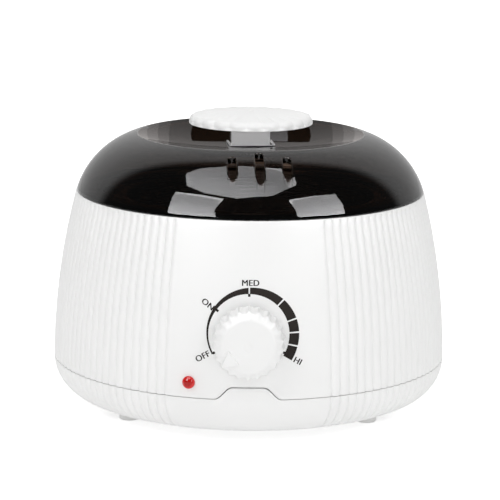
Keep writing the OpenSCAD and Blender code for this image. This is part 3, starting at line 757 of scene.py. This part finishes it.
def make_base():
    """The base shell, from the lower arc up the outside to the seam and down the inside, with its screw wells
    and the inlet's hole cut out."""
    side_rows = 4
    arc_rows = 30
    bevel = 0.3 * MM
    top = SEAM - SEAM_GAP
    lip = side_radius(SEAM) - WALL - 0.4 * MM
    lip_top, lip_wall = SEAM + 3.5 * MM, 2 * MM
    floor_top = UNDERSIDE + FLOOR_THICKNESS
    inside = [(lip, lip_top), (lip - lip_wall, lip_top), (lip - lip_wall, BASE_ARC_HEIGHT),
              (lip - 6 * MM, floor_top + 3 * MM), (BASE_CENTRE - 2 * MM, floor_top), (0, floor_top),
              (0, UNDERSIDE)]

    def place(row, angle):
        dip = RIB_DEPTH * valley(angle)
        high = top + tab_edge(angle, 0)
        if row < side_rows:
            z = BASE_ARC_HEIGHT + (high - bevel - BASE_ARC_HEIGHT) * row / (side_rows - 1)
            return side_radius(z) - dip, z
        row -= side_rows
        if row == 0:
            part_bevel = 0.3 * bevel
            return side_radius(high) - dip - part_bevel, high - part_bevel
        if row == 1:
            return side_radius(high) - dip - bevel, high
        row -= 2
        if row == 0:
            return lip, high
        row -= 1
        if row < len(inside):
            r, z = inside[row]
            return r, (max(z, high - 1 * MM) if row < 2 else z)
        row -= len(inside)
        turn = math.radians(-90 + 90 * row / arc_rows)
        rib_start, rib_full = -88, -62
        fade = smooth((math.degrees(turn) - rib_start) / (rib_full - rib_start))
        reach = BASE_ARC - dip * fade
        return BASE_CENTRE + reach * math.cos(turn), BASE_ARC_HEIGHT + reach * math.sin(turn)

    rows = side_rows + 3 + len(inside) + arc_rows
    points, faces = turned_grid(rows, RIBS * RIB_COLUMNS, place)
    base = add_piece("base_skin", points, faces, "base_white", "body", stands_for=("base_shell",))
    posts = [(SCREW_REACH * math.cos(math.radians(a)), SCREW_REACH * math.sin(math.radians(a)))
             for a in (30, 150, 210, 330)]
    wells = [prism(ring_of(SCREW_WELL, middle=p), 0, SCREW_WELL_TOP) for p in posts]
    inlet = []
    for radius, near in ((7.8 * MM, BODY_RADIUS - 1.4 * MM), (5.6 * MM, BASE_CENTRE + 3 * MM)):
        points, faces = prism(ring_of(radius, 48), near, BODY_RADIUS + 6 * MM)
        inlet.append(([(x, z, INLET_HEIGHT + y) for x, y, z in points], faces))
    cut(base, wells + inlet[:1])
    cut(base, inlet[1:])
    post_foot, post_radius, screw_hole = floor_top - 1 * MM, 5 * MM, 1.8 * MM
    post = [(SCREW_WELL, post_foot), (post_radius, post_foot), (post_radius, POST_TOP),
            (screw_hole, POST_TOP), (screw_hole, SCREW_WELL_TOP), (SCREW_WELL, SCREW_WELL_TOP)]
    points, faces = turned_grid(len(post), 32, lambda row, angle: post[row])
    shapes = [([(x + p[0], y + p[1], z) for x, y, z in points], faces) for p in posts]
    add_shapes("base_posts", shapes, "base_white", "body")


# Lid
def dish_height(reach, inset=0.0):
    return DISH_CENTRE - math.sqrt((DISH_RADIUS + inset) ** 2 - reach * reach)


def shoulder_height(reach):
    return LID_ARC_HEIGHT + math.sqrt(LID_ARC ** 2 - (reach - LID_ARC_REACH) ** 2)


def slot_outline(x, near, far):
    """The round-ended outline of a vent slot from near to far off the lid's middle, towards the front."""
    half, steps = SLOT_WIDTH / 2, 10
    turns = [math.pi * k / steps for k in range(steps + 1)]
    back = [(x + half * math.cos(t), half * math.sin(t) - near - half) for t in turns]
    front = [(x - half * math.cos(t), half - far - half * math.sin(t)) for t in turns]
    return back + front


def make_lid():
    """The lid's dome, with its slots and the stem's hole cut out, the slots' rims and a grey bead that paints
    the crease's highlight.
    """
    start = math.degrees(math.acos((CREASE - LID_ARC_REACH) / LID_ARC))
    low = math.degrees(math.asin((RIM - LID_ARC_HEIGHT) / LID_ARC))
    inner_low = math.degrees(math.asin((WEB_TOP - LID_ARC_HEIGHT) / (LID_ARC - LID_WALL)))
    centre = (LID_ARC_REACH, LID_ARC_HEIGHT)
    outer = [(CREASE * k / 24, dish_height(CREASE * k / 24)) for k in range(24)]
    outer.append((CREASE, CREASE_HEIGHT))
    outer += arc(centre, LID_ARC, start, low, 48)[1:]
    outer = [(min(r, LID_RADIUS), z) for r, z in outer]
    inner_start = math.degrees(math.acos((INNER_CREASE - LID_ARC_REACH) / (LID_ARC - LID_WALL)))
    ring_outer = RING + 2 * MM
    foot = [(ring_outer, RIM), (ring_outer, RING_FOOT), (RING, RING_FOOT), (RING, WEB_TOP)]
    inner = foot + arc(centre, LID_ARC - LID_WALL, inner_low, inner_start, 40)
    reaches = [INNER_CREASE * k / 20 for k in range(19, -1, -1)]
    inner += [(reach, dish_height(reach, LID_WALL)) for reach in reaches]
    corner = outer.index((CREASE, CREASE_HEIGHT))
    rounded = eased([outer[corner - 1], outer[corner], outer[corner + 1]], CREASE_ROUNDING, 8)
    outline = outer[:corner - 1] + rounded + outer[corner + 2:] + inner
    points, faces = turned_grid(len(outline), 256, lambda row, angle: outline[row])
    dome = add_piece("lid_dome", points, faces, "lid_smoke", "lid", stands_for=("lid_shell",))
    slots = [(0, CREASE + 2.5 * MM, 74 * MM)]
    slots += [(x, CREASE + 5.2 * MM, 71.6 * MM) for x in (-SLOT_PITCH, SLOT_PITCH)]
    outlines = [[turned(p, LID_TURN) for p in slot_outline(*slot)] for slot in slots]
    play = 0.2 * MM
    half_wide, half_deep = STEM_WIDTH / 2 + play, STEM_DEPTH / 2 + play
    stem_hole = [(-half_wide, -half_deep), (half_wide, -half_deep), (half_wide, half_deep),
                 (-half_wide, half_deep)]
    cut(dome, [prism(line, RIM + 0.1 * MM, RIM + 40 * MM) for line in outlines + [stem_hole]])
    rims = []
    for line in outlines:
        whole = []
        for k, (x, y) in enumerate(line):
            far_x, far_y = line[(k + 1) % len(line)]
            steps = max(1, round(math.hypot(far_x - x, far_y - y) / (0.8 * MM)))
            whole += [(x + (far_x - x) * t / steps, y + (far_y - y) * t / steps) for t in range(steps)]
        route = [(x, y, shoulder_height(math.hypot(x, y)) + 0.05 * MM) for x, y in whole]
        rims.append(tube(route, 0.32 * MM))
    add_shapes("lid_slot_rims", rims, "lid_smoke", "lid")
    make_painted_crease_highlight()


def make_painted_crease_highlight():
    """A grey bead along the crease that paints its highlight, standing out a little less towards the rear."""
    sunk, more_at_rear = 0.43 * MM, 0.11 * MM
    route = [(x, y, CREASE_HEIGHT - sunk - more_at_rear * (y - AXIS_Y) / CREASE)
             for x, y in ring_of(CREASE, 160)]
    points, faces = tube(route, 0.24 * MM)
    add_piece("lid_painted_crease_highlight", points, faces, "crease_edge", "lid", slot="lid_smoke")


def make_lid_knob():
    """The knob's cap: a low crown with a dimple, and grooves between its lobes that run out at its foot."""
    r = KNOB_RADIUS
    low, high = KNOB_LOW, KNOB_LOW + KNOB_THICKNESS

    def top(reach):
        return high - KNOB_CROWN + math.sqrt(KNOB_CROWN ** 2 - reach ** 2)

    dimple, shoulder = top(0) - 0.3 * MM, r - 1.1 * MM
    line = [(0, dimple), (1.2 * MM, dimple), (1.5 * MM, top(0) - 0.02 * MM)]
    line += [(r * k / 20, top(r * k / 20)) for k in range(2, 18)]
    edge = eased([line[-1], (shoulder, top(shoulder)), (r, low + 1.9 * MM), (r, low + 0.2 * MM)], 2.2 * MM, 8)
    hollow_reach, hollow = r - 4 * MM, low + 1.6 * MM
    under = [(r - 0.2 * MM, low), (hollow_reach, low), (hollow_reach, hollow), (0, hollow)]
    outline = line[:-1] + edge + under
    groove, groove_start, groove_full = 1.05 * MM, 10 * MM, r - 2 * MM
    run_out, skirt_reach = 1.4 * MM, r - 1.5 * MM
    skirt = next(k for k, point in enumerate(outline) if point[0] > r - 1.4 * MM)

    def place(row, angle):
        reach, z = outline[row]
        dent = groove * (1 - abs(math.sin((angle - math.radians(KNOB_TURN)) * KNOB_LOBES / 2)))
        if row >= skirt:
            return reach - (dent * smooth((z - low) / run_out) if reach > skirt_reach else 0), z
        depth = dent * smooth((reach - groove_start) / (groove_full - groove_start))
        steep = smooth((reach - 0.8 * r) / (0.16 * r))
        return reach - depth * steep, z - depth * (1 - steep)

    points, faces = turned_grid(len(outline), KNOB_LOBES * 16, place)
    # The cap's material glows faintly, painted light
    add_piece("lid_knob_cap", points, faces, "cap_white_painted_glow", "lid", slot="knob_white", stands_for=("lid_knob",))
    make_stem()


def make_stem():
    """The stem under the knob and the turned seat that it stands in: a black plate, painted shadow, under a
    white rim.
    """
    seat = dish_height(0)
    wide, deep = STEM_WIDTH / 2, STEM_DEPTH / 2

    def block(left, right, near, far, low, high, round_off, turn):
        corners = [(left, -near), (right, -near), (right, far), (left, far)]
        return prism([turned(p, turn) for p in eased(corners, round_off, 4, closed=True)], low, high)

    points, faces = block(-wide, wide, deep, deep, seat - LID_WALL - 2 * MM, KNOB_LOW + 1.8 * MM, 0.8 * MM, 0)
    # The stem's material glows, painted light in the knob's shade
    add_piece("lid_knob_stem", points, faces, "stem_white_painted_glow", "lid", slot="knob_white")
    # Painted shadow: a black plate fills the seat and runs a little before it, for the shade under the seat
    half, front, back = wide + 1.7 * MM, deep + 1.1 * MM, deep + 1 * MM
    points, faces = block(-half, half, front + 1.2 * MM, back, seat - 0.4 * MM, seat + 0.5 * MM, 0.6 * MM,
                          SEAT_TURN)
    add_piece("lid_knob_seat", points, faces, "seat_painted_shadow", "lid", slot="knob_white")
    # The rim is drawn in the stem's glowing white, painted light along the seat's edges
    rim = 0.5 * MM
    foot = seat + 0.45 * MM
    shapes = [block(-half, half, front, rim - front, foot, seat + 0.8 * MM, 0.2 * MM, SEAT_TURN)]
    for left, right in ((-half, 1 * MM - half), (half - 1 * MM, half)):
        shapes.append(block(left, right, front, back, foot, seat + 1.1 * MM, 0.3 * MM, SEAT_TURN))
    add_shapes("lid_knob_seat_rim", shapes, "stem_white_painted_glow", "lid", slot="knob_white")


# Dial
def dial_place(x, y, z):
    """A point in the dial's frame: x right, y up, z towards the viewer."""
    return (x, -DIAL_BACK - z, DIAL_HEIGHT + y)


def make_dial():
    """The dial: a fluted skirt that flares towards its foot, a cone and a flat face with a shallow dimple."""
    r, face = DIAL_RADIUS, DIAL_THICKNESS
    skirt_top, dimple = face - 3.4 * MM, face - 0.12 * MM
    corners = [(r, 0.4 * MM), (r, skirt_top), (r - 3.9 * MM, face), (2 * MM, face), (1.6 * MM, dimple)]
    outline = [(0, 0), (r - 0.4 * MM, 0)] + eased(corners, 0.9 * MM, 6) + [(0, dimple)]
    flute_reach, flute_bite, flare = 2.1 * MM, 1.25 * MM, 0.9 * MM

    def place(row, angle):
        reach, z = outline[row]
        turn = (angle * DIAL_FLUTES / TAU) % 1 - 0.5
        across = abs(turn) * TAU * r / DIAL_FLUTES
        limit = r - flute_bite * max(0, 1 - (across / flute_reach) ** 2)
        if reach > limit:
            reach = limit + flare * max(0, 1 - z / skirt_top)
        return reach, z

    points, faces = turned_grid(len(outline), DIAL_FLUTES * 14, place)
    points = [dial_place(x, -y, z) for x, y, z in points]
    add_piece("dial_cap", points, faces, "knob_white", "dial", stands_for=("control_knob",))
    make_pointer()


def make_pointer():
    """The raised triangle on the dial, with its point at the rim."""
    turn = math.radians(POINTER_REST)
    low, high = DIAL_THICKNESS - 3.2 * MM, DIAL_THICKNESS + 0.8 * MM
    inner, outer, half = 7.9 * MM, 15.1 * MM, 4.1 * MM
    outline = eased([(-half, inner), (half, inner), (0, outer)], 0.5 * MM, 4, closed=True)

    def place(point, z, shrink=0.0):
        middle = Vector((0, (2 * inner + outer) / 3))
        x, y = middle + (Vector(point) - middle) * (1 - shrink)
        return dial_place(x * math.cos(turn) + y * math.sin(turn), y * math.cos(turn) - x * math.sin(turn), z)

    count = len(outline)
    points = [place(p, low) for p in outline]
    points += [place(p, high - 0.3 * MM) for p in outline]
    points += [place(p, high, shrink=0.07) for p in outline]
    faces = [tuple(range(count)), tuple(range(3 * count - 1, 2 * count - 1, -1))]
    for level in (0, count):
        faces += [(level + k, level + (k + 1) % count, level + count + (k + 1) % count, level + count + k)
                  for k in range(count)]
    add_piece("dial_pointer", points, faces, "knob_white", "dial")


# Print on the front panel
def panel_point(x, z, lift):
    """A point on the smooth panel at (x, z), lifted off it."""
    reach = side_radius(z) + lift
    return (x, -math.sqrt(reach ** 2 - x ** 2), z)


def print_point(reach, degrees, lift):
    a = math.radians(degrees)
    return panel_point(PRINT_CENTRE[0] + reach * math.sin(a), PRINT_CENTRE[1] + reach * math.cos(a), lift)


def band_width(degrees):
    """Width of the printed band, which grows clockwise."""
    thin, growth, start, end = 0.7 * MM, 3.65 * MM, -112, 95
    return thin + growth * smooth((degrees - start) / (end - start))


def patch(rows):
    """A thin raised skin over a grid of (reach, degrees) points, front and back."""
    wide = len(rows[0])
    points = [print_point(r, a, lift) for lift in (PRINT_LIFT, -PRINT_LIFT) for row in rows for r, a in row]
    back = len(rows) * wide
    faces = []
    for j in range(len(rows) - 1):
        for k in range(wide - 1):
            n = j * wide + k
            faces.append((n, n + 1, n + wide + 1, n + wide))
            faces.append((back + n + wide, back + n + wide + 1, back + n + 1, back + n))
    edge = list(range(wide)) + [j * wide + wide - 1 for j in range(1, len(rows))]
    edge += [(len(rows) - 1) * wide + k for k in range(wide - 2, -1, -1)]
    edge += [j * wide for j in range(len(rows) - 2, 0, -1)]
    faces += [(edge[k - 1], edge[k], back + edge[k], back + edge[k - 1]) for k in range(len(edge))]
    return points, faces


def make_print():
    """The growing band round the dial, broken at each step, with a small tick inside it at each word."""
    gap, half = 0.93, 1.75
    marks = [PRINT_START - gap, *PRINT_STEPS, PRINT_END + gap]
    shapes = []
    for start, end in zip(marks, marks[1:]):
        first, last = start + gap, end - gap
        steps = max(4, round((last - first) / 2))
        spokes = [first + (last - first) * k / steps for k in range(steps + 1)]
        rows = [[(PRINT_INNER + band_width(a) * t / 4, a) for a in spokes] for t in range(5)]
        shapes.append(patch(rows))
    for middle, tick in PRINT_TICKS:
        rows = [[(PRINT_INNER - tick * MM * t / 2 + 0.1 * MM, middle + half * k) for k in (-1, 0, 1)]
                for t in range(3)]
        shapes.append(patch(rows))
    add_shapes("dial_print", shapes, "print_black", "body", slot="holder_black")
    for word, x, z, turn in WORDS:
        make_word(word, x * MM, z * MM, turn)


def make_word(word, x, z, turn):
    """A word in plain capitals, printed on the panel about (x, z) in three copies side by side, so that its
    strokes are wide enough."""
    size, step, lift = 3.8 * MM, 0.1 * MM, 0.003 * MM
    text = bpy.data.curves.new("word", "FONT")
    text.body = word
    text.align_x, text.align_y = "CENTER", "CENTER"
    text.space_character = 1.06
    holder = link_object("word", text)
    bpy.context.view_layer.update()
    flat = bpy.data.meshes.new_from_object(holder.evaluated_get(bpy.context.evaluated_depsgraph_get()))
    bpy.data.objects.remove(holder)
    high = [v.co.y for v in flat.vertices]
    middle = (min(high) + max(high)) / 2
    faces = [tuple(p.vertices) for p in flat.polygons]
    copies = []
    for k in range(3):
        shift = (k - 1) * step
        spots = [turned((v.co.x * size + shift, (v.co.y - middle) * size), turn) for v in flat.vertices]
        points = [panel_point(x + across, z + up, PRINT_LIFT + k * lift) for across, up in spots]
        copies.append((points, faces))
    add_shapes("word_" + word, copies, "print_black", "body", slot="holder_black")


# Lamp
def make_lamp():
    """The lamp's lens: a short barrel with a dome."""
    r, back, foot = LAMP_DIAMETER / 2, BODY_RADIUS - 4 * MM, LAMP_CROWN - LAMP_DOME
    turns = [TAU * k / 64 for k in range(16)]
    outline = [(0, back), (r, back)] + [(r * math.cos(t), foot + LAMP_DOME * math.sin(t)) for t in turns]
    outline.append((0, LAMP_CROWN))
    points, faces = turned_grid(len(outline), 48, lambda row, angle: outline[row])
    add_piece("lamp_dome", [lamp_place(*p) for p in points], faces, "lamp_red", "body", sharp=50,
              stands_for=("indicator_lens",))


make_camera()
make_world()
make_lights()
make_floor()
make_flags()
materials = make_materials()
make_housing()
make_base()
make_lid()
make_lid_knob()
make_dial()
make_print()
make_lamp()

# The nodes of the construction that stay, each in the material of its slot
node_slot = {entry["node"]: entry["material_slot"] for entry in frame["record"]["subparts"]}
for name, node in frame["nodes"].items():
    node.data.materials.clear()
    node.data.materials.append(materials[node_slot[name]])
    shade(node.data, NODE_SHARP_EDGE)

bpy.context.scene.view_settings.view_transform = "Standard"
